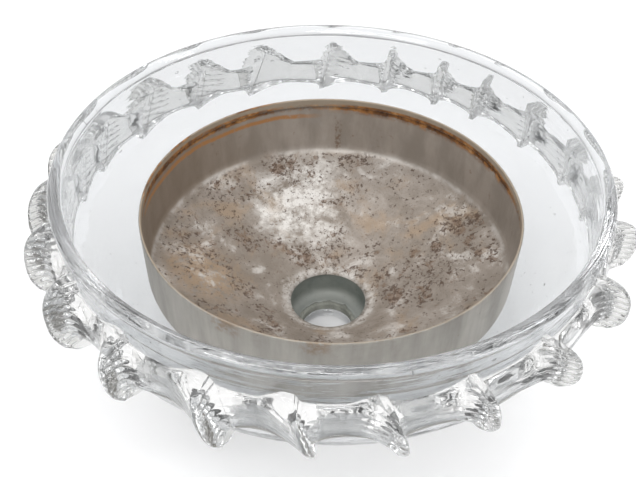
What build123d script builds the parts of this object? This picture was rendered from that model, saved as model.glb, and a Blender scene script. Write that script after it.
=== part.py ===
from build123d import *
from math import cos, radians, tan
import os

# Uplighter bowl of heavy clear glass, with a ribbon of hot glass pinched into folds round its neck.
# A spun steel reflector pan stands inside it on the cup that held the lamp.
# Millimetres, +Z up, origin at the centre of the ground foot, front towards -Y.

# Glass bowl
rim_radius = 225.0
rim_height = 193.0
lip_thickness = 11.0
neck_outer_radius = 221.0
glass_wall = 7.0
shoulder_height = 135.0
shoulder_radius = 42.0
shoulder_turn = 36.0
foot_radius = 36.0
floor_thickness = 8.0
hole_radius = 21.5
hole_chamfer = 1.0

# Pinched ribbon
ribbon_bottom = 134.0
ribbon_top = 166.0
ribbon_wall = 6.0
ribbon_edge = 2.0
fold_reach = 32.5
fold_height = 48.0
fold_centre_height = 150.5
fold_root_width = 26.0
fold_tip_width = 9.0
fold_lean = 20.0
fold_angles = [
    5, 18.5, 35, 50, 62, 75.5, 91, 109, 124.5, 141, 157.5, 168.5,
    183, 198, 214, 231, 250, 265, 280, 296, 313, 332.5, 350,
]

# Packing ring between the glass floor and the cup
ring_outer_radius = 33.0
ring_hole_radius = 22.6
ring_thickness = 7.4
ring_edge = 0.8

# Lampholder cup
cup_radius = 37.8
cup_sheet = 0.8
cup_corner = 10.0
cup_hole_radius = 24.5

# Reflector pan
pan_rim_radius = 158.6
pan_rim_height = 155.0
pan_corner_radius = 156.0
pan_corner_bend = 14.0
pan_hole_radius = 34.0
pan_hole_height = 42.0
pan_slope = 24.0
pan_sheet = 1.0
hem_depth = 8.0
hem_sheet = 1.1
rest_gap = 0.3

# Worked out from the sizes above
lip_centre_radius = rim_radius - lip_thickness / 2
neck_inner_radius = neck_outer_radius - glass_wall
ring_top = floor_thickness + ring_thickness
pan_corner_height = pan_hole_height + (pan_corner_radius - pan_hole_radius) * tan(radians(pan_slope))
cup_inner_radius = cup_radius - cup_sheet
cup_top = (
    pan_hole_height
    + (cup_inner_radius - pan_hole_radius) * tan(radians(pan_slope))
    - rest_gap / cos(radians(pan_slope))
)

os.makedirs("parts", exist_ok=True)


def bowl_outline(neck_radius, bend_radius, floor_radius, floor_height):
    """Half outline of the bowl's body: upright neck, rounded shoulder, long belly arc, flat floor."""
    with BuildLine() as outline:
        neck = Line((neck_radius, rim_height), (neck_radius, shoulder_height))
        shoulder = JernArc(neck @ 1, (0, -1), bend_radius, -shoulder_turn)
        belly = TangentArc(shoulder @ 1, (floor_radius, floor_height), tangent=shoulder % 1)
        Polyline(belly @ 1, (0, floor_height), (0, rim_height), neck @ 0)
    return outline.line


# The bowl: an outer and an inner turned shape, a round lip, and a hole through the floor
with BuildPart() as glass_bowl:
    with BuildSketch(Plane.XZ):
        add(bowl_outline(neck_outer_radius, shoulder_radius, foot_radius, 0))
        make_face()
    revolve(axis=Axis.Z)
    with BuildSketch(Plane.XZ):
        add(bowl_outline(neck_inner_radius, shoulder_radius - glass_wall, foot_radius, floor_thickness))
        make_face()
    revolve(axis=Axis.Z, mode=Mode.SUBTRACT)
    with BuildSketch(Plane.XZ):
        with Locations((lip_centre_radius, rim_height)):
            Circle(lip_thickness / 2)
    revolve(axis=Axis.Z)
    with Locations((0, 0, floor_thickness / 2)):
        Cylinder(hole_radius, floor_thickness, mode=Mode.SUBTRACT)
    circles = glass_bowl.edges().filter_by(GeomType.CIRCLE)
    chamfer(circles.filter_by(lambda edge: edge.radius < hole_radius + 1), hole_chamfer)
glass_bowl.part.label = "glass_bowl"

# The ribbon is one trail of glass: a band round the neck, and the folds pinched out of it
with BuildPart() as ribbon_band:
    with BuildSketch(Plane.XY.offset(ribbon_bottom)):
        Circle(neck_outer_radius + ribbon_wall)
    extrude(amount=ribbon_top - ribbon_bottom)
    fillet(ribbon_band.edges().filter_by(GeomType.CIRCLE), ribbon_edge)
    with Locations((0, 0, rim_height / 2)):
        Cylinder(neck_outer_radius, 2 * rim_height, mode=Mode.SUBTRACT)
ribbon_band.part.label = "ribbon_band"

# One fold: an oval tongue, wide at its root, that stands out of the band and leans sideways
fold_upright = Plane(origin=(0, 0, fold_centre_height), x_dir=(1, 0, 0), z_dir=(0, -1, 0))
fold_side = fold_upright.rotated((fold_lean, 0, 0))
fold_level = Plane(origin=fold_side.origin, x_dir=(1, 0, 0), z_dir=fold_side.y_dir)
fold_tip = neck_outer_radius + fold_reach
with BuildPart() as fold:
    with BuildSketch(fold_side):
        with Locations((neck_outer_radius, 0)):
            Ellipse(fold_reach, fold_height / 2)
    extrude(amount=fold_root_width, both=True)
    with BuildSketch(fold_level):
        with BuildLine():
            Polyline(
                (neck_outer_radius, -fold_root_width / 2),
                (fold_tip, -fold_tip_width / 2),
                (fold_tip, fold_tip_width / 2),
                (neck_outer_radius, fold_root_width / 2),
                close=True,
            )
        make_face()
    extrude(amount=fold_height, both=True, mode=Mode.INTERSECT)
    with Locations((0, 0, rim_height / 2)):
        Cylinder(neck_outer_radius + ribbon_wall, 2 * rim_height, mode=Mode.SUBTRACT)

# All the folds. They were pinched by eye, so their spacing is uneven.
with BuildPart() as ribbon_folds:
    with Locations(*[Location((0, 0, 0), (0, 0, angle)) for angle in fold_angles]):
        add(fold.part)
ribbon_folds.part.label = "ribbon_folds"

# Packing ring round the hole, on the glass floor
with BuildPart() as seating_ring:
    with BuildSketch(Plane.XY.offset(floor_thickness)):
        Circle(ring_outer_radius)
        Circle(ring_hole_radius, mode=Mode.SUBTRACT)
    extrude(amount=ring_thickness)
    chamfer(seating_ring.edges().filter_by(GeomType.CIRCLE), ring_edge)
seating_ring.part.label = "seating_ring"

# Cup of the lampholder, standing on the packing ring
with BuildPart() as lampholder_cup:
    with BuildSketch(Plane.XZ):
        with BuildLine():
            FilletPolyline(
                (cup_hole_radius, ring_top), (cup_radius, ring_top), (cup_radius, cup_top), radius=cup_corner
            )
            offset(amount=cup_sheet, side=Side.LEFT)
        make_face()
    revolve(axis=Axis.Z)
lampholder_cup.part.label = "lampholder_cup"

# Reflector pan: funnel floor, rounded corner and wall in one sheet, with a hem folded inwards
with BuildPart() as reflector_pan:
    with BuildSketch(Plane.XZ):
        with BuildLine():
            FilletPolyline(
                (pan_hole_radius, pan_hole_height),
                (pan_corner_radius, pan_corner_height),
                (pan_rim_radius, pan_rim_height),
                radius=pan_corner_bend,
            )
            offset(amount=pan_sheet, side=Side.LEFT)
        make_face()
    revolve(axis=Axis.Z)
    with BuildSketch(Plane.XY.offset(pan_rim_height - hem_depth)):
        Circle(pan_rim_radius - pan_sheet / 2)
        Circle(pan_rim_radius - pan_sheet - hem_sheet, mode=Mode.SUBTRACT)
    extrude(amount=hem_depth)
reflector_pan.part.label = "reflector_pan"

for piece in (glass_bowl, ribbon_band, ribbon_folds, seating_ring, lampholder_cup, reflector_pan):
    export_step(piece.part, f"parts/{piece.part.label}.step")
    print(piece.part.label, round(piece.part.volume / 1000, 1), "cm3")
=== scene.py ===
import math
import random

import bpy
import numpy as np
from mathutils import Matrix, Vector, noise


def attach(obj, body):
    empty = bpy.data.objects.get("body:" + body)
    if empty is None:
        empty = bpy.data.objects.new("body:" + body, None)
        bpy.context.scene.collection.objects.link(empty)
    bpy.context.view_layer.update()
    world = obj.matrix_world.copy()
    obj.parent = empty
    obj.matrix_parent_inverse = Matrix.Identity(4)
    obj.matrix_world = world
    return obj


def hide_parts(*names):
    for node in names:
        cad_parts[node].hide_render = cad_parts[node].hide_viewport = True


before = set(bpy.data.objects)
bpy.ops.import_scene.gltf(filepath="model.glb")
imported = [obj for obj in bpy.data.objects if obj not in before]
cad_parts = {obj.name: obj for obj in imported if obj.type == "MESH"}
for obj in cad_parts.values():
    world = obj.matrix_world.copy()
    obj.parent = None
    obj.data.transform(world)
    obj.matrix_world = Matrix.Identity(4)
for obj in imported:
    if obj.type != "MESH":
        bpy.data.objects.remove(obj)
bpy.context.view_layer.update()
mm = 0.001
tau = math.tau
print("frame loaded")


class Signal:  # one output of a node, so that sums on it are written as sums
    def __init__(self, paint, socket):
        self.paint = paint
        self.socket = socket

    def __add__(self, other):
        return self.paint.maths("ADD", self, other)

    def __sub__(self, other):
        return self.paint.maths("SUBTRACT", self, other)

    def __mul__(self, other):
        return self.paint.maths("MULTIPLY", self, other)

    def __rsub__(self, other):
        return self.paint.maths("SUBTRACT", other, self)

    __radd__ = __add__
    __rmul__ = __mul__


class Paint:  # a material while it is being put together
    def __init__(self, name):
        self.material = bpy.data.materials.new(name)
        self.material.use_nodes = True
        self.tree = self.material.node_tree
        self.tree.nodes.clear()
        self.position = self.node("ShaderNodeTexCoord", {}, {}, "Object")
        self.x = self.node("ShaderNodeSeparateXYZ", {}, {0: self.position}, 0)
        self.y = Signal(self, self.x.socket.node.outputs[1])
        self.z = Signal(self, self.x.socket.node.outputs[2])

    def node(self, kind, settings, inputs, output=0):
        made = self.tree.nodes.new(kind)
        for key, value in settings.items():
            if key == "stops":
                self.setStops(made.color_ramp.elements, value)
            else:
                setattr(made, key, value)
        for key, value in inputs.items():
            if isinstance(value, Signal):
                self.tree.links.new(value.socket, made.inputs[key])
            else:
                made.inputs[key].default_value = value
        return Signal(self, made.outputs[output])

    def setStops(self, elements, stops):
        while len(elements) < len(stops):
            elements.new(1)
        for element, (place, colour) in zip(elements, stops):
            element.position = place
            element.color = colour

    def maths(self, operation, first, second=0.0):
        return self.node("ShaderNodeMath", {"operation": operation}, {0: first, 1: second})

    def noise(self, scale, detail=4, roughness=0.55, distortion=0.0, at=None):
        return self.node(
            "ShaderNodeTexNoise",
            {},
            {"Vector": at or self.position, "Scale": scale, "Detail": detail,
             "Roughness": roughness, "Distortion": distortion},
            "Fac",
        )

    def cells(self, scale, at=None):
        inputs = {"Vector": at or self.position, "Scale": scale}
        return self.node("ShaderNodeTexVoronoi", {}, inputs, "Distance")

    def shifted(self, offset, scale=(1, 1, 1)):
        inputs = {"Vector": self.position, "Location": offset, "Scale": scale}
        return self.node("ShaderNodeMapping", {}, inputs)

    def rise(self, value, low, high):  # smoothly from 0 at low to 1 at high, and falling if low is above high
        return self.node(
            "ShaderNodeMapRange",
            {"interpolation_type": "SMOOTHSTEP"},
            {"Value": value, "From Min": low, "From Max": high, "To Min": 0.0, "To Max": 1.0},
        )

    def window(self, value, low, high, soft):  # 1 between low and high, with soft edges
        return self.rise(value, low - soft, low + soft) * self.rise(value, high + soft, high - soft)

    def blend(self, factor, first, second):
        return self.node("ShaderNodeMix", {"data_type": "RGBA"}, {0: factor, 6: first, 7: second}, 2)

    def radius(self):
        return self.maths("SQRT", self.x * self.x + self.y * self.y)

    def azimuth(self):  # degrees anticlockwise from +X, -180 to 180
        return self.maths("ARCTAN2", self.y, self.x) * (360 / tau)

    def spot(self, x, y, radius):  # 1 at a place on the plan, 0 beyond the radius
        across = self.x - x * mm
        along = self.y - y * mm
        distance = self.maths("SQRT", across * across + along * along)
        return self.rise(distance, radius * mm, radius * 0.25 * mm)

    def capped(self, value):
        return self.maths("MINIMUM", value, 1.0)

    def bump(self, height, strength, distance):
        return self.node("ShaderNodeBump", {}, {"Strength": strength, "Distance": distance, "Height": height})

    def principled(self, inputs):
        return self.node("ShaderNodeBsdfPrincipled", {}, inputs)

    def finish(self, shader):
        out = self.tree.nodes.new("ShaderNodeOutputMaterial")
        self.tree.links.new(shader.socket, out.inputs["Surface"])
        return self.material


def rgb(red, green, blue):  # display values 0-255 to scene colour
    linear = []
    for level in (red, green, blue):
        level = level / 255
        linear.append(level / 12.92 if level <= 0.04045 else ((level + 0.055) / 1.055) ** 2.4)
    return (*linear, 1.0)


def selectNone():
    bpy.ops.object.select_all(action="DESELECT")


def turned(name, outline, steps):  # a closed outline of (radius, height) in mm, spun round the upright axis
    selectNone()
    bpy.ops.mesh.primitive_plane_add(size=mm)
    piece = bpy.context.object
    piece.name = name
    piece.data.name = name
    bpy.ops.object.mode_set(mode="EDIT")
    bpy.ops.mesh.select_all(action="SELECT")
    bpy.ops.mesh.merge(type="CENTER")
    bpy.ops.transform.translate(value=(outline[0][0] * mm, 0, outline[0][1] * mm))
    for start, end in zip(outline, outline[1:] + outline[:1]):
        step = ((end[0] - start[0]) * mm, 0, (end[1] - start[1]) * mm)
        bpy.ops.mesh.extrude_region_move(TRANSFORM_OT_translate={"value": step})
    bpy.ops.mesh.select_all(action="SELECT")
    bpy.ops.mesh.remove_doubles(threshold=0.01 * mm)
    bpy.ops.mesh.select_all(action="SELECT")
    bpy.ops.mesh.spin(steps=steps, angle=tau, center=(0, 0, 0), axis=(0, 0, 1))
    bpy.ops.mesh.select_all(action="SELECT")
    bpy.ops.mesh.remove_doubles(threshold=0.01 * mm)
    bpy.ops.mesh.select_all(action="SELECT")
    bpy.ops.mesh.normals_make_consistent(inside=False)
    bpy.ops.object.mode_set(mode="OBJECT")
    bpy.ops.object.shade_smooth()
    return piece


def getPoints(piece):
    flat = np.zeros(len(piece.data.vertices) * 3)
    piece.data.vertices.foreach_get("co", flat)
    return flat.reshape(-1, 3)


def setPoints(piece, points):
    piece.data.vertices.foreach_set("co", points.reshape(-1))
    piece.data.update()


def roughness(points, scale, seed):  # smooth noise of -1 to 1 at each point
    offset = Vector((seed * 7.3, seed * 3.1, seed * 5.7))
    return np.array([noise.noise(Vector(point) * scale + offset) for point in points])


def arc(centre, radius, start, end, count):  # points on a circle, angles in degrees, both ends included
    angles = np.radians(np.linspace(start, end, count))
    return [(centre[0] + radius * math.cos(a), centre[1] + radius * math.sin(a)) for a in angles]


def between(start, end, count):  # points evenly spaced on a straight line, both ends left out
    shares = np.linspace(0, 1, count + 2)[1:-1]
    return [(start[0] + (end[0] - start[0]) * t, start[1] + (end[1] - start[1]) * t) for t in shares]


def tangentArc(start, heading, end, count):  # an arc from start, along heading in degrees, to end
    direction = (math.cos(math.radians(heading)), math.sin(math.radians(heading)))
    side = (direction[1], -direction[0])
    gap = (end[0] - start[0], end[1] - start[1])
    radius = (gap[0] ** 2 + gap[1] ** 2) / (2 * (gap[0] * side[0] + gap[1] * side[1]))
    centre = (start[0] + radius * side[0], start[1] + radius * side[1])
    first = math.degrees(math.atan2(start[1] - centre[1], start[0] - centre[0]))
    last = math.degrees(math.atan2(end[1] - centre[1], end[0] - centre[0]))
    return arc(centre, radius, first, last, count)


def dress(piece, body, nodes, materials):
    piece.data.materials.clear()
    for material in materials:
        piece.data.materials.append(material)
    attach(piece, body)
    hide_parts(*nodes)


def makeGlass(name, settings):
    paint = Paint(name)
    drawn = paint.shifted((0, 0, 0), (1, 1, settings["streakStretch"]))
    streaks = paint.noise(settings["streakScale"], 3, 0.5, at=drawn)
    seeds = paint.rise(paint.cells(settings["seedScale"]), settings["seedSize"], 0.0)
    ripple = paint.noise(settings["rippleScale"], 2, 0.5)
    height = ripple * settings["ripple"] + streaks * settings["streak"] - seeds * settings["seed"]
    flat = paint.shifted((0.01, 0.02, 0), (1, 1, settings["markFlatness"]))
    size = settings["markSize"]
    marks = paint.rise(paint.cells(settings["markScale"], at=flat), size, size * 0.4)
    tint = paint.blend(marks * 0.6, settings["tint"], settings["shadeAndDust"])  # painted shade makes long bubbles show as dark dashes
    height = height + marks * settings["mark"]
    if "groovePitch" in settings:  # painted shade in the pressed grooves, with a little dust held there
        phase = paint.maths("SINE", paint.z * (tau / (settings["groovePitch"] * mm)))
        sideways = paint.rise(paint.maths("ABSOLUTE", paint.x), *settings["grooveSides"])
        outwards = paint.rise(paint.radius(), *settings["grooveRadius"])
        groove = paint.rise(phase, -0.35, -0.85) * sideways * outwards
        tint = paint.blend(groove * settings["grooveShadeAndDust"], tint, settings["shadeAndDust"])
        height = height - groove * settings["groove"]
    normal = paint.bump(height, 1.0, mm)
    bloom = paint.rise(paint.noise(settings["bloomScale"], 5, 0.6), 0.52, 0.8)
    rough = bloom * settings["bloom"] + settings["polish"]
    glass = paint.principled({
        "Base Color": tint,
        "Roughness": rough,
        "IOR": settings["ior"],
        "Transmission Weight": 1.0,
        "Normal": normal,
    })
    clear = paint.node("ShaderNodeBsdfTransparent", {}, {"Color": settings["shadow"]})
    shadowRay = paint.node("ShaderNodeLightPath", {}, {}, "Is Shadow Ray")
    return paint.finish(paint.node("ShaderNodeMixShader", {}, {0: shadowRay, 1: glass, 2: clear}))


glassLook = {
    # the darkest tint is painted shade for bubbles and grooves, with some dust in the grooves
    "tint": (0.785, 0.797, 0.807, 1), "shadow": (0.985, 0.987, 0.987, 1), "shadeAndDust": (0.42, 0.42, 0.40, 1),
    "ior": 1.50, "polish": 0.004,
    "bloom": 0.05, "bloomScale": 30,
    "ripple": 0.45, "rippleScale": 34,
    "streak": 0.50, "streakScale": 12, "streakStretch": 14,
    "seed": 0.25, "seedScale": 120, "seedSize": 0.10,
    "mark": 0.5, "markScale": 24, "markSize": 0.06, "markFlatness": 2.2,
}
clearGlass = makeGlass("clearGlass", glassLook)
ribbonGlass = makeGlass("ribbonGlass", {
    **glassLook,
    "tint": (0.82, 0.82, 0.81, 1),
    "ripple": 0.40, "rippleScale": 60, "streak": 0.1, "seedScale": 160,
    "groovePitch": 5.4, "groove": 0.8, "grooveShadeAndDust": 0.75,
    "grooveSides": (0.07, 0.15), "grooveRadius": (0.2285, 0.2320),
})
print("glass mixed")


bowl = {
    "rim": 225.0, "rimHeight": 193.0, "lip": 5.5,
    "neck": 221.0, "wall": 7.0,
    "shoulderHeight": 135.0, "shoulderRadius": 42.0, "shoulderTurn": 36.0,
    "foot": 36.0, "floor": 8.0, "hole": 21.5, "chamfer": 1.0, "holeFlat": 6,
    "steps": 256, "wave": 0.45, "waveScale": 22, "chip": 0.8,
    "collar": 173.0, "collarEdge": 0.35, "step": 0.7,
}


def bowlSide(neck, bend, floor):  # one face of the wall, from the neck's top down to the foot
    top = [(neck, height) for height in np.linspace(bowl["rimHeight"] - 6, bowl["shoulderHeight"], 53)]
    centre = (neck - bend, bowl["shoulderHeight"])
    shoulder = arc(centre, bend, 0, -bowl["shoulderTurn"], 9)
    belly = tangentArc(shoulder[-1], -90 - bowl["shoulderTurn"], (bowl["foot"], floor), 44)
    return top + shoulder[1:] + belly[1:]


def makeBowl():
    outer = bowlSide(bowl["neck"], bowl["shoulderRadius"], 0)
    inner = bowlSide(bowl["neck"] - bowl["wall"], bowl["shoulderRadius"] - bowl["wall"], bowl["floor"])
    lip = arc((bowl["rim"] - bowl["lip"], bowl["rimHeight"]), bowl["lip"], -74, 180, 26)
    edge = bowl["hole"] + bowl["chamfer"]
    flat = edge + bowl["holeFlat"]
    hole = [
        (flat, bowl["floor"]), (edge, bowl["floor"]), (bowl["hole"], bowl["floor"] - bowl["chamfer"]),
        (bowl["hole"], bowl["chamfer"]), (edge, 0), (flat, 0),
    ]
    outline = outer[::-1] + lip + inner + hole
    piece = turned("bowlOfGlass", outline, bowl["steps"])
    points = getPoints(piece)
    radius = np.hypot(points[:, 0], points[:, 1])
    outwards = np.stack([points[:, 0] / radius, points[:, 1] / radius, np.zeros(len(points))], 1)
    height = points[:, 2] / mm
    inside = radius / mm < bowl["neck"] - bowl["wall"] / 2
    coarse, fine = bowl["waveScale"], 2.6 * bowl["waveScale"]
    wave = roughness(points, coarse, 1) + 0.5 * roughness(points, fine, 2)
    waveInside = roughness(points, coarse, 3) + 0.5 * roughness(points, fine, 4)
    wave = np.where(inside, waveInside, wave) * np.clip((height - 20) / 40, 0, 1)
    room = np.where(height > bowl["rimHeight"] - 4, 0.35, 1.0)
    points += outwards * (wave * room * bowl["wave"] * mm)[:, None]
    # the collar under the lip ends in a small step
    below = 1 / (1 + np.exp((height - bowl["collar"]) / bowl["collarEdge"]))
    step = below * np.clip((height - bowl["shoulderHeight"]) / 12, 0, 1) * bowl["step"]
    points -= outwards * (step * ~inside * mm)[:, None]
    chipped = np.exp(-((radius / mm - bowl["hole"] - 0.5) / 2.5) ** 2)
    points += outwards * (chipped * roughness(points, 180, 5) * bowl["chip"] * mm)[:, None]
    furthest = np.hypot(points[:, 0], points[:, 1]).max()
    if furthest > bowl["rim"] * mm:
        points[:, :2] *= bowl["rim"] * mm / furthest
    setPoints(piece, points)
    dress(piece, "bowl", ["glass_bowl"], [clearGlass])


makeBowl()
print("bowl turned")


ribbon = {
    "angles": [5, 18.5, 35, 50, 62, 75.5, 91, 109, 124.5, 141, 157.5, 168.5,
               183, 198, 214, 231, 250, 265, 280, 296, 313, 332.5, 350],
    "columns": 52, "outerRows": 72, "innerRows": 8,
    "inner": 220.3, "surface": 221.0,
    "bandCentre": 150.0, "bandHalf": 15.0, "backLower": 2.0, "backNarrower": 3.5,
    "foldCentre": 150.8, "foldHalf": 22.5, "sidesTaller": 2.5,
    "reach": 30.0, "halfThick": 3.0, "lean": 14.0, "leftLean": 10.0, "curl": 4.0,
    "rimShare": 0.13, "full": 2.5, "swag": 1.7, "droop": 2.5, "bandThick": 6.0, "flare": 2.0,
    "slopes": {-1: (1.2, 1.3), 1: (4.6, 1.3)},  # how the flank leaves the fold, and how it sinks to the band
    "ribPitch": 5.4, "ribDepth": 0.60, "ribRest": 0.08,
    "seed": 11, "waver": 0.5, "waverScale": 38,
}


# place across the fold and share of its reach, from the crest to the valley
def foldPlan(share, side, half, reach, flat):
    thick = ribbon["halfThick"]
    turn = np.clip(share / ribbon["rimShare"], 0, 1) * math.pi / 2
    along = np.clip((share - ribbon["rimShare"]) / (1 - ribbon["rimShare"]), 0, 1)
    gentle, steep = ribbon["slopes"][side], ribbon["slopes"][1]
    spread, sink = (a + (b - a) * flat for a, b in zip(gentle, steep))
    across = thick * np.sin(turn) + (half - thick) * along ** spread
    height = (1 - thick / reach * (1 - np.cos(turn))) * (1 - along) ** sink
    return across * side, height


def makeFold(draw, angle, halves):
    columns = ribbon["columns"]
    s = np.linspace(-1, 1, ribbon["outerRows"])[None, :]
    w = np.clip(s * (1.3 - 0.3 * s * s), -1, 1)
    reach = ribbon["reach"] + draw.uniform(-2.5, 0.8)
    leftness = -math.cos(math.radians(angle))  # 1 on the left, where folds lean most, -1 on the right
    lean = math.tan(math.radians(ribbon["lean"] + ribbon["leftLean"] * leftness + draw.uniform(-5, 5)))
    curl = ribbon["curl"] + draw.uniform(-5, 4)
    tall = ribbon["foldHalf"] + ribbon["sidesTaller"] * abs(leftness) + draw.uniform(-1.5, 1)
    shift = draw.uniform(-1.5, 1.0)
    steps = np.arange(columns) - columns // 2
    flat = max(0, -leftness)  # on the right both faces of a fold are flat
    plan = []
    for step in steps:
        side, halfGap = (-1, halves[0]) if step < 0 else (1, halves[1])
        plan.append(foldPlan(abs(step) / (columns / 2), side, halfGap, reach, flat))
    across = np.array([place[0] for place in plan])[:, None]
    share = np.array([place[1] for place in plan])[:, None]
    side = np.where(steps < 0, -1.0, 1.0)[:, None]
    away = (np.abs(steps) / (columns / 2))[:, None]
    swag = np.cos(away * math.pi / 2) ** ribbon["swag"]
    # at the back the ribbon is lower and narrower between folds
    backness = max(0, math.sin(math.radians(angle)))
    valleyHalf = ribbon["bandHalf"] - ribbon["backNarrower"] * backness
    valleyCentre = ribbon["bandCentre"] - ribbon["backLower"] * backness
    half = valleyHalf + (tall - valleyHalf) * swag
    centre = valleyCentre + (ribbon["foldCentre"] + shift - valleyCentre) * swag
    centre = centre - side * ribbon["droop"] * np.sin(away * math.pi)
    z = centre + half * w
    base = (ribbon["bandThick"] - ribbon["flare"] * w) * np.sqrt(np.clip(1 - np.abs(w) ** 5, 0, 1))
    outline = np.clip(1 - np.abs(w) ** ribbon["full"], 0, 1) ** (1 / ribbon["full"])
    out = reach * share * outline + base * (1 - share)
    curled = curl * np.clip(out / reach, 0, 1.2) ** 1.5 * share ** 0.3
    x = across - lean * (z - centre) * share ** 0.4 + curled
    ribMask = np.clip((away - 0.05) / 0.06, 0, 1) * np.clip((0.86 - away) / 0.12, 0, 1)
    facing = np.clip(0.5 + side * leftness, 0, 1)  # the face towards the front has the deeper ribs
    ribs = np.tanh(1.6 * np.sin(tau * z / ribbon["ribPitch"]))
    x = x + side * (ribbon["ribRest"] + ribbon["ribDepth"] * facing) * ribs * ribMask
    theta = math.radians(angle) + x / ribbon["surface"]
    innerW = np.linspace(1, -1, ribbon["innerRows"] + 2)[None, 1:-1]
    innerTheta = theta[:, :1] + (theta[:, -1:] - theta[:, :1]) * (innerW + 1) / 2
    innerRadius = np.full((columns, ribbon["innerRows"]), ribbon["inner"])
    radius = np.concatenate([ribbon["surface"] + out, innerRadius], 1)
    z = np.concatenate([z, centre + half * innerW * 0.96], 1)
    theta = np.concatenate([theta, innerTheta], 1)
    return np.stack([radius * np.cos(theta), radius * np.sin(theta), z], -1)


def makeRibbon():
    draw = random.Random(ribbon["seed"])
    angles = ribbon["angles"]
    count = len(angles)
    folds = []
    for number, angle in enumerate(angles):
        before = (angle - angles[number - 1]) % 360
        after = (angles[(number + 1) % count] - angle) % 360
        halves = [gap / 2 / 360 * tau * ribbon["surface"] for gap in (before, after)]
        folds.append(makeFold(draw, angle, halves))
    surface = np.concatenate(folds, 0) * mm
    rows = ribbon["outerRows"] + ribbon["innerRows"]
    around = count * ribbon["columns"]
    selectNone()
    bpy.ops.mesh.primitive_grid_add(x_subdivisions=rows, y_subdivisions=around, size=1)
    piece = bpy.context.object
    piece.name = "ruffledRibbon"
    piece.data.name = "ruffledRibbon"
    grid = getPoints(piece)
    row = np.rint((grid[:, 0] + 0.5) * rows).astype(int) % rows
    column = np.rint((grid[:, 1] + 0.5) * around).astype(int) % around
    points = surface[column, row]
    distance = np.hypot(points[:, 0], points[:, 1])
    free = np.clip((distance / mm - ribbon["surface"] - 1) / 6, 0, 1)
    wave = roughness(points, ribbon["waverScale"], 9) * ribbon["waver"] * mm * free
    points[:, 0] += points[:, 0] / distance * wave
    points[:, 1] += points[:, 1] / distance * wave
    points[:, 2] += roughness(points, 1.4 * ribbon["waverScale"], 8) * ribbon["waver"] * mm * free
    setPoints(piece, points)
    bpy.ops.object.mode_set(mode="EDIT")
    bpy.ops.mesh.select_all(action="SELECT")
    bpy.ops.mesh.remove_doubles(threshold=0.001 * mm)
    bpy.ops.mesh.select_all(action="SELECT")
    bpy.ops.mesh.normals_make_consistent(inside=False)
    bpy.ops.object.mode_set(mode="OBJECT")
    bpy.ops.object.shade_smooth()
    dress(piece, "bowl", ["ribbon_band", "ribbon_folds"], [ribbonGlass])


makeRibbon()
print("ribbon pinched")


pan = {
    "rim": 158.6, "rimHeight": 155.0, "corner": 156.0, "bend": 14.0,
    "hole": 34.0, "holeHeight": 42.0, "slope": 24.0,
    "sheet": 1.0, "hem": 8.0, "hemSheet": 1.1,
    "steps": 288, "dent": 0.5, "dentScale": 14,
}


panPaint = {  # plan places and radii in mm, angles in degrees, heights and other lengths in metres
    "stains": [
        (91, 15, 50), (140, -55, 42), (-3, 45, 34), (-125, 24, 45),
        (-109, 100, 40), (-30, 138, 40), (120, 62, 30), (80, -95, 40),
    ],
    # the first place is a painted highlight over chalky white on the back slope of the dish
    "chalkSheenPlace": (-28, 100, 62), "tanPlace": (-109, -6, 48),
    # corner gives the heights of the painted highlight along the foot of the wall
    "dishTop": (0.103, 0.094), "corner": (0.0965, 0.0995, 0.0015), "holeWhite": (0.045, 0.037),
    "grey": [rgb(134, 124, 113), rgb(172, 163, 154)],
    "chalkAndHighlight": rgb(226, 223, 218), "tan": rgb(168, 142, 112),
    "brown": rgb(122, 100, 82), "dark": rgb(84, 66, 54),
    "wall": [rgb(146, 138, 129), rgb(166, 157, 148)],
    "wallLeft": rgb(122, 104, 84), "leftFrom": (-0.04, -0.15),
    "tide": rgb(176, 122, 66), "tideSides": (98, 178, 7), "tideHeights": (0.1352, 0.1394, 0.0011),
    "hem": rgb(164, 150, 131), "hemEdge": 0.147,
    "rustLeft": (112, 178, 7), "rustRight": (12, 84, 12),
    "rustLine": (0.1434, 0.1500, 0.0012), "rustBelow": (0.1405, 0.1478, 0.0026), "rimEdge": (0.1532, 0.1546),
    "rust": [
        (0.34, rgb(74, 48, 31)), (0.47, rgb(118, 78, 42)),
        (0.58, rgb(164, 112, 60)), (0.72, rgb(194, 158, 114)),
    ],
    "drip": (86.6, 88.4, 0.5), "dripHeights": (0.100, 0.130, 0.003),
}


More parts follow.
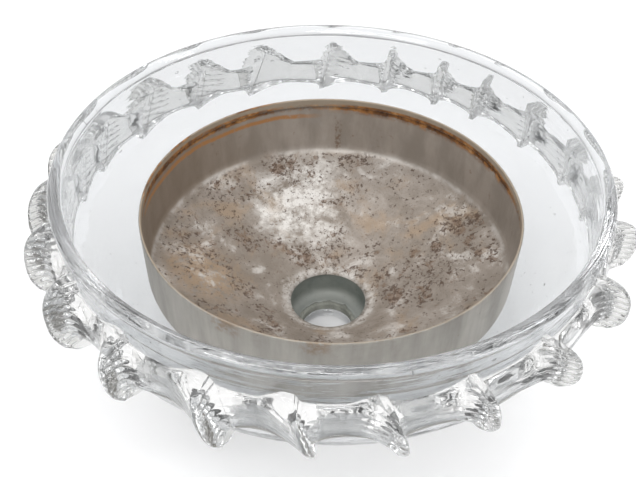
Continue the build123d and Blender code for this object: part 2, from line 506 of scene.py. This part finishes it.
def paintDish(paint, look, patch, grain, fine):  # grey steel with chalky, tan and brown stains, and a painted sheen on the back of the dish
    wide = paint.noise(11, 3, 0.5)
    base = paint.blend(paint.rise(patch * 0.6 + wide * 0.4, 0.38, 0.64), *look["grey"])
    # painted highlight: the back of the dish is whitened where it catches the light, over real chalky white
    sheenAndChalk = paint.spot(*look["chalkSheenPlace"]) * paint.rise(patch + grain * 0.5, 0.62, 0.86)
    white = paint.rise(patch, 0.53, 0.68) * 0.55 + sheenAndChalk
    aroundHole = paint.rise(paint.radius() + (patch - 0.5) * 0.03, *look["holeWhite"])
    white = paint.capped(white + aroundHole * paint.rise(grain, 0.35, 0.6) * 0.6)
    base = paint.blend(white, base, look["chalkAndHighlight"])
    tan = paint.rise(paint.noise(21, 6, 0.65, 0.3, at=paint.shifted((0.3, 0.1, 0))), 0.52, 0.70) * 0.5
    tan = tan + paint.spot(*look["tanPlace"]) * paint.rise(grain, 0.36, 0.56) * 0.7
    base = paint.blend(paint.capped(tan), base, look["tan"])
    cluster = paint.rise(paint.noise(30, 3, 0.6, at=paint.shifted((0.7, 0.2, 0))), 0.50, 0.64) * 0.8
    for place in look["stains"]:
        cluster = cluster + paint.spot(*place) * 0.55
    cluster = paint.capped(cluster)
    dish = paint.rise(paint.z, *look["dishTop"])
    blotch = paint.rise(paint.noise(95, 6, 0.72, 0.5) + cluster * 0.13, 0.62, 0.69) * dish
    specks = paint.rise(paint.noise(270, 5, 0.72) + cluster * 0.10, 0.595, 0.65) * dish
    freckles = paint.rise(fine, 0.60, 0.68) * dish * 0.55
    base = paint.blend(freckles, base, look["brown"])
    base = paint.blend(blotch * 0.7, base, look["brown"])
    base = paint.blend(specks * 0.85, base, look["dark"])
    return base, 1 - dish, white, blotch + specks


def paintWall(paint, look, base, wall, patch):  # streaked, browner on the left, with a painted highlight along the corner
    streak = paint.noise(50, 5, 0.6, at=paint.shifted((0, 0, 0), (1, 1, 0.3)))
    base = paint.blend(wall * 0.9, base, paint.blend(paint.rise(streak, 0.34, 0.66), *look["wall"]))
    base = paint.blend(paint.rise(paint.x, *look["leftFrom"]) * wall * 0.6, base, look["wallLeft"])
    smudge = paint.rise(paint.noise(120, 5, 0.7, at=paint.shifted((0.2, 0.5, 0.1))), 0.62, 0.7) * wall
    base = paint.blend(smudge * 0.5, base, look["brown"])
    # painted highlight: a light line along the bend between the wall and the dish
    corner = paint.window(paint.z, *look["corner"]) * paint.rise(patch, 0.36, 0.56)
    return paint.blend(corner * 0.35, base, look["chalkAndHighlight"])


def paintRust(paint, look, base, wall, patch, grain):  # a tide line, and rust where the hem holds water
    azimuth = paint.azimuth()
    wander = (paint.noise(14, 2) - 0.5) * 0.004
    left = paint.window(azimuth, *look["rustLeft"])
    right = paint.window(azimuth, *look["rustRight"])
    tideHeight = paint.z + wander + (patch - 0.5) * 0.005
    tide = paint.window(azimuth, *look["tideSides"]) * paint.window(tideHeight, *look["tideHeights"])
    base = paint.blend(tide * paint.rise(grain, 0.25, 0.48) * 0.85, base, look["tide"])
    hem = paint.rise(paint.z, look["hemEdge"] - 0.0006, look["hemEdge"] + 0.0006)
    base = paint.blend(hem * 0.7, base, look["hem"])
    ragged = (grain - 0.5) * 0.007 + wander
    flakes = paint.rise(paint.noise(60, 6, 0.7), 0.34, 0.52)
    below = paint.window(paint.z + ragged, *look["rustBelow"]) * right * flakes
    line = paint.window(paint.z + ragged * 0.5, *look["rustLine"])
    heavy = line * (left + right) * paint.rise(patch * 0.5 + grain * 0.5, 0.32, 0.46)
    light = line * paint.rise(grain, 0.42, 0.6) * 0.5
    edge = paint.rise(paint.z + (grain - 0.5) * 0.003, *look["rimEdge"])
    rim = edge * (left * 0.8 + 0.06) * paint.rise(patch, 0.40, 0.55)
    rust = paint.capped(below * 0.9 + heavy + light + rim) * wall
    tone = paint.node("ShaderNodeValToRGB", {"stops": look["rust"]}, {0: paint.noise(85, 5, 0.7)})
    return paint.blend(rust, base, tone), rust


def makePanPaint():
    paint = Paint("weatheredPan")
    look = panPaint
    patch = paint.noise(32, 8, 0.66, 0.3)
    grain = paint.noise(170, 6, 0.7)
    fine = paint.noise(620, 3, 0.6)
    base, wall, white, spots = paintDish(paint, look, patch, grain, fine)
    base = paintWall(paint, look, base, wall, patch)
    base, rust = paintRust(paint, look, base, wall, patch, grain)
    drip = paint.window(paint.azimuth() + (fine - 0.5) * 2.5, *look["drip"])
    drip = drip * paint.window(paint.z, *look["dripHeights"])
    base = paint.blend(drip * paint.rise(paint.noise(420, 3), 0.42, 0.55) * 0.8, base, look["brown"])
    dull = paint.capped(rust + spots)
    height = grain * 0.35 + dull * 0.35 + fine * 0.08 + patch * 0.5
    return paint.finish(paint.principled({
        "Base Color": base,
        "Roughness": 0.46 + dull * 0.35 + white * 0.12 + (grain - 0.5) * 0.25,
        "Metallic": 0.30 - dull * 0.25 - white * 0.15,
        "Normal": paint.bump(height, 0.7, 0.5 * mm),
    }))


def makeOuterPanPaint():
    paint = Paint("dullPanOutside")
    azimuth = paint.azimuth()
    streak = paint.noise(40, 5, 0.6, at=paint.shifted((0, 0, 0), (1, 1, 0.15)))
    grain = paint.noise(190, 5, 0.65)
    base = paint.blend(paint.rise(streak, 0.32, 0.7), rgb(144, 140, 133), rgb(176, 172, 165))
    stain = paint.rise(paint.noise(20, 5, 0.65, 0.4), 0.52, 0.72) * 0.4
    base = paint.blend(stain, base, rgb(128, 120, 110))
    frayed = azimuth + (grain - 0.5) * 8
    drips = paint.window(frayed, -122, -115, 2) + paint.window(frayed, -96, -90, 2)
    drips = drips * paint.rise(paint.z + (grain - 0.5) * 0.01, 0.139, 0.150) * paint.rise(grain, 0.35, 0.6)
    base = paint.blend(paint.capped(drips) * 0.6, base, rgb(130, 98, 64))
    specks = paint.rise(paint.noise(260, 5, 0.7), 0.66, 0.72)
    base = paint.blend(specks * 0.7, base, rgb(92, 74, 58))
    rim = paint.rise(paint.z + (grain - 0.5) * 0.001, 0.1536, 0.1546)
    base = paint.blend(rim * paint.rise(grain, 0.40, 0.62) * 0.4, base, rgb(160, 144, 122))
    normal = paint.bump(grain, 0.4, 0.3 * mm)
    return paint.finish(paint.principled({
        "Base Color": base,
        "Roughness": 0.40 + grain * 0.2,
        "Metallic": 0.4 - specks * 0.3,
        "Normal": normal,
    }))


def makePan():
    slope = math.radians(pan["slope"])
    cornerHeight = pan["holeHeight"] + (pan["corner"] - pan["hole"]) * math.tan(slope)
    lean = math.atan2(pan["rimHeight"] - cornerHeight, pan["rim"] - pan["corner"])  # direction of the wall
    turn = lean - slope
    cut = pan["bend"] * math.tan(turn / 2)
    start = (pan["corner"] - cut * math.cos(slope), cornerHeight - cut * math.sin(slope))
    centre = (start[0] - pan["bend"] * math.sin(slope), start[1] + pan["bend"] * math.cos(slope))
    firstAngle = math.degrees(slope) - 90
    lastAngle = math.degrees(lean) - 90
    inside = pan["bend"] - pan["sheet"]
    wallIn = (math.sin(lean) * pan["sheet"], math.cos(lean) * pan["sheet"])
    topOut = (pan["rim"], pan["rimHeight"])
    sheet = pan["sheet"]
    floorIn = (pan["hole"] - sheet * math.sin(slope), pan["holeHeight"] + sheet * math.cos(slope))
    bendIn = arc(centre, inside, firstAngle, lastAngle, 12)
    bendOut = arc(centre, pan["bend"], firstAngle, lastAngle, 12)
    hemBottom = pan["rimHeight"] - pan["hem"]
    share = (hemBottom - bendIn[-1][1]) / (pan["rimHeight"] - bendIn[-1][1])
    wallTop = (topOut[0] - wallIn[0], topOut[1])
    hemFoot = (bendIn[-1][0] + (wallTop[0] - bendIn[-1][0]) * share, hemBottom)
    hemRadius = pan["rim"] - pan["sheet"] - pan["hemSheet"]

    foldMid = (hemRadius + pan["rim"]) / 2
    foldHalf = (pan["rim"] - hemRadius) / 2
    outline = [floorIn] + between(floorIn, bendIn[0], 26) + bendIn
    outline += between(bendIn[-1], hemFoot, 10) + [hemFoot]
    outline += [(hemFoot[0] - 0.5, hemBottom - 0.1), (hemRadius, hemBottom + 0.3)]
    outline += between((hemRadius, hemBottom + 0.3), (hemRadius, pan["rimHeight"] - foldHalf), 3)
    outline += arc((foldMid, pan["rimHeight"] - foldHalf), foldHalf, 180, 0, 8)
    outline += between((pan["rim"], pan["rimHeight"] - foldHalf), bendOut[-1], 14)
    outline += bendOut[::-1]
    holeOut = (pan["hole"], pan["holeHeight"])
    outline += between(bendOut[0], holeOut, 26) + [holeOut]
    piece = turned("spunPan", outline, pan["steps"])
    points = getPoints(piece)
    radius = np.hypot(points[:, 0], points[:, 1])
    outwards = points[:, :2] / radius[:, None]
    up = np.clip((points[:, 2] / mm - 90) / 50, 0, 1)
    wallPlace = np.stack([outwards[:, 0] * 0.15, outwards[:, 1] * 0.15, points[:, 2] * 0.6], 1)
    dents = roughness(wallPlace, pan["dentScale"], 21)
    points[:, :2] += outwards * (dents * up * pan["dent"] * mm)[:, None]
    setPoints(piece, points)
    dress(piece, "reflector", ["reflector_pan"], [makePanPaint(), makeOuterPanPaint()])
    for face in piece.data.polygons:
        direction = Vector((face.center.x, face.center.y, 0)).normalized()
        outer = face.normal.dot(direction) > 0.3 or face.normal.z < -0.2
        face.material_index = 1 if outer else 0


makePan()
print("pan spun")


cup = {
    "radius": 37.8, "sheet": 0.8, "corner": 10.0, "hole": 24.5, "foot": 15.4, "gap": 0.3,
    "steps": 240, "torn": 3.2,
}
ring = {"outer": 33.0, "hole": 22.6, "bottom": 8.0, "thick": 7.4, "edge": 0.8, "steps": 160, "crumble": 0.6}


def makeCupPaint():
    paint = Paint("greyCup")
    radius = paint.radius()
    turns = paint.maths("SINE", (radius + paint.z * 0.7) * 5200) * 0.5 + 0.5
    cloud = paint.noise(45, 5, 0.6)
    grain = paint.noise(320, 4, 0.6)
    base = paint.blend(paint.rise(cloud, 0.3, 0.7), rgb(124, 131, 126), rgb(146, 150, 144))
    base = paint.blend(paint.rise(grain, 0.60, 0.72) * 0.4, base, rgb(104, 104, 96))
    # painted light: the cup is lighter and less metallic towards its floor, where light falls in through the
    # hole
    low = paint.rise(paint.z, 0.026, 0.016)
    base = paint.blend(low * 0.5, base, rgb(172, 173, 168))
    normal = paint.bump(turns * 0.12 + grain * 0.3, 0.5, 0.2 * mm)
    shader = paint.principled({
        "Base Color": base, "Roughness": 0.42 + grain * 0.25, "Metallic": 0.35 - low * 0.2, "Normal": normal,
    })
    return paint.finish(shader)


def makeRingPaint():
    paint = Paint("oldPacking")
    grain = paint.noise(260, 6, 0.7)
    lumps = paint.noise(80, 4, 0.6)
    base = paint.blend(paint.rise(lumps, 0.3, 0.7), rgb(124, 126, 118), rgb(158, 159, 150))
    base = paint.blend(paint.rise(grain, 0.56, 0.72) * 0.7, base, rgb(86, 84, 76))
    normal = paint.bump(grain + lumps, 0.8, 0.8 * mm)
    return paint.finish(paint.principled({"Base Color": base, "Roughness": 0.85, "Normal": normal}))


def makeCup():
    slope = math.radians(pan["slope"])  # the pan's floor lies on the cup's edge with a small gap
    reach = cup["radius"] - cup["sheet"] - pan["hole"]
    top = pan["holeHeight"] + reach * math.tan(slope) - cup["gap"] / math.cos(slope)
    centre = (cup["radius"] - cup["corner"], cup["foot"] + cup["corner"])
    outer = arc(centre, cup["corner"], -90, 0, 14)
    inner = arc(centre, cup["corner"] - cup["sheet"], 0, -90, 14)
    outline = [(cup["hole"], cup["foot"])] + outer
    innerRadius = cup["radius"] - cup["sheet"]
    wall = np.linspace(cup["foot"] + cup["corner"] + 3, top - 0.3, 6)
    outline += [(cup["radius"], z) for z in wall]
    outline += [(cup["radius"] - 0.3, top), (innerRadius + 0.2, top)]
    outline += [(innerRadius, z) for z in wall[::-1]]
    outline += inner + [(cup["hole"], cup["foot"] + cup["sheet"])]
    piece = turned("lampholderCup", outline, cup["steps"])
    points = getPoints(piece)  # the floor's hole is torn, so its edge wanders outwards
    radius = np.hypot(points[:, 0], points[:, 1])
    outwards = points[:, :2] / radius[:, None]
    edge = radius / mm < cup["hole"] + 0.5
    flat = np.stack([outwards[:, 0], outwards[:, 1], 0 * radius], 1)
    tear = np.abs(roughness(flat, 3.2, 41)) + 0.6 * np.abs(roughness(flat, 11, 42))
    points[:, :2] += outwards * (edge * tear * cup["torn"] * mm)[:, None]
    setPoints(piece, points)
    dress(piece, "cup", ["lampholder_cup"], [makeCupPaint()])


def makeRing():
    low, high = ring["bottom"], ring["bottom"] + ring["thick"]
    outer, hole, edge = ring["outer"], ring["hole"], ring["edge"]
    outline = [(hole + edge, low), (outer - edge, low), (outer, low + edge)]
    outline += [(outer, z) for z in np.linspace(low + 2, high - 2, 3)]
    outline += [(outer, high - edge), (outer - edge, high)]
    outline += [(r, high) for r in np.linspace(outer - 3, hole + 3, 4)]
    outline += [(hole + edge, high), (hole, high - edge)]
    outline += [(hole, z) for z in np.linspace(high - 2, low + 2, 3)]
    outline += [(hole, low + edge)]
    piece = turned("packingRing", outline, ring["steps"])
    points = getPoints(piece)
    radius = np.hypot(points[:, 0], points[:, 1])
    ragged = roughness(points, 260, 31) * np.exp(-((radius / mm - hole) / 3) ** 2)
    points[:, :2] += points[:, :2] / radius[:, None] * (np.abs(ragged) * ring["crumble"] * mm)[:, None]
    points[:, 2] -= np.abs(roughness(points, 200, 32)) * 0.5 * mm * (points[:, 2] / mm > high - 0.5)
    setPoints(piece, points)
    dress(piece, "bowl", ["seating_ring"], [makeRingPaint()])


makeCup()
makeRing()
print("cup and ring made")


studio = {
    "floorSize": 12.0, "floorTone": (0.95, 0.95, 0.95, 1),
    "sky": [(0.0, 0.42), (0.10, 0.62), (0.40, 0.86), (1.0, 0.86)], "skyStrength": 1.0,
    "panels": [  # place, aimed at, width, depth, brightness
        ((-0.25, 0.95, 1.7), (0, 0, 0.15), 1.5, 0.5, 3.0),
        ((-0.40, -1.35, 1.55), (0, 0, 0.15), 1.6, 0.25, 11.5),
        ((1.5, -0.3, 1.3), (0, 0, 0.15), 0.2, 0.8, 9.0),
    ],
}


def makeFloor():
    selectNone()
    bpy.ops.mesh.primitive_grid_add(x_subdivisions=12, y_subdivisions=12, size=studio["floorSize"])
    floor = bpy.context.object
    floor.name = "paleFloor"
    paint = Paint("paleFloor")
    tone = paint.blend(paint.noise(3, 2) * 0.02, studio["floorTone"], (0.85, 0.85, 0.85, 1))
    floor.data.materials.append(paint.finish(paint.principled({"Base Color": tone, "Roughness": 0.9})))


def makeWorld():
    world = bpy.data.worlds.new("softRoom")
    bpy.context.scene.world = world
    world.use_nodes = True
    tree = world.node_tree
    tree.nodes.clear()
    direction = tree.nodes.new("ShaderNodeTexCoord")
    parts = tree.nodes.new("ShaderNodeSeparateXYZ")
    ramp = tree.nodes.new("ShaderNodeValToRGB")
    background = tree.nodes.new("ShaderNodeBackground")
    out = tree.nodes.new("ShaderNodeOutputWorld")
    stops = ramp.color_ramp.elements
    while len(stops) < len(studio["sky"]):
        stops.new(1)
    for stop, (height, level) in zip(stops, studio["sky"]):
        stop.position = height
        stop.color = (level, level, level * 1.01, 1)
    tree.links.new(direction.outputs["Generated"], parts.inputs[0])
    tree.links.new(parts.outputs[2], ramp.inputs[0])
    tree.links.new(ramp.outputs[0], background.inputs[0])
    background.inputs[1].default_value = studio["skyStrength"]
    tree.links.new(background.outputs[0], out.inputs[0])


def makePanels():
    for number, (place, target, width, depth, brightness) in enumerate(studio["panels"]):
        light = bpy.data.lights.new(f"panel{number}", "AREA")
        light.shape = "RECTANGLE"
        light.size = width
        light.size_y = depth
        light.energy = brightness * math.pi * width * depth
        lamp = bpy.data.objects.new(f"panel{number}", light)
        bpy.context.scene.collection.objects.link(lamp)
        lamp.location = place
        lamp.rotation_euler = (Vector(target) - Vector(place)).to_track_quat("-Z", "Y").to_euler()


view = {"elevation": 41.07, "distance": 0.805, "across": 0.0104, "raise": 0.0579, "roll": 1.32, "lens": 56.6}


def makeCamera():
    lift = math.radians(view["elevation"])
    roll = math.radians(view["roll"])
    right = Vector((1, 0, 0))
    up = Vector((0, math.sin(lift), math.cos(lift)))
    forward = Vector((0, math.cos(lift), -math.sin(lift)))
    aim = Vector((0, 0, bowl["rimHeight"] * mm))
    place = aim - forward * view["distance"] - right * view["across"] - up * view["raise"]
    across = right * math.cos(roll) + up * math.sin(roll)
    upwards = up * math.cos(roll) - right * math.sin(roll)
    matrix = Matrix((across, upwards, -forward)).transposed().to_4x4()
    matrix.translation = place
    data = bpy.data.cameras.new("camera")
    data.lens = view["lens"]
    data.sensor_width = 36
    camera = bpy.data.objects.new("camera", data)
    bpy.context.scene.collection.objects.link(camera)
    camera.matrix_world = matrix
    bpy.context.scene.camera = camera


makeFloor()
makeWorld()
makePanels()
makeCamera()
bpy.context.scene.view_settings.view_transform = "Standard"
rays = bpy.context.scene.cycles  # light runs far along inside thick glass before it leaves
rays.max_bounces = 32
rays.glossy_bounces = 24
rays.transmission_bounces = 28
rays.transparent_max_bounces = 24
print("studio set")
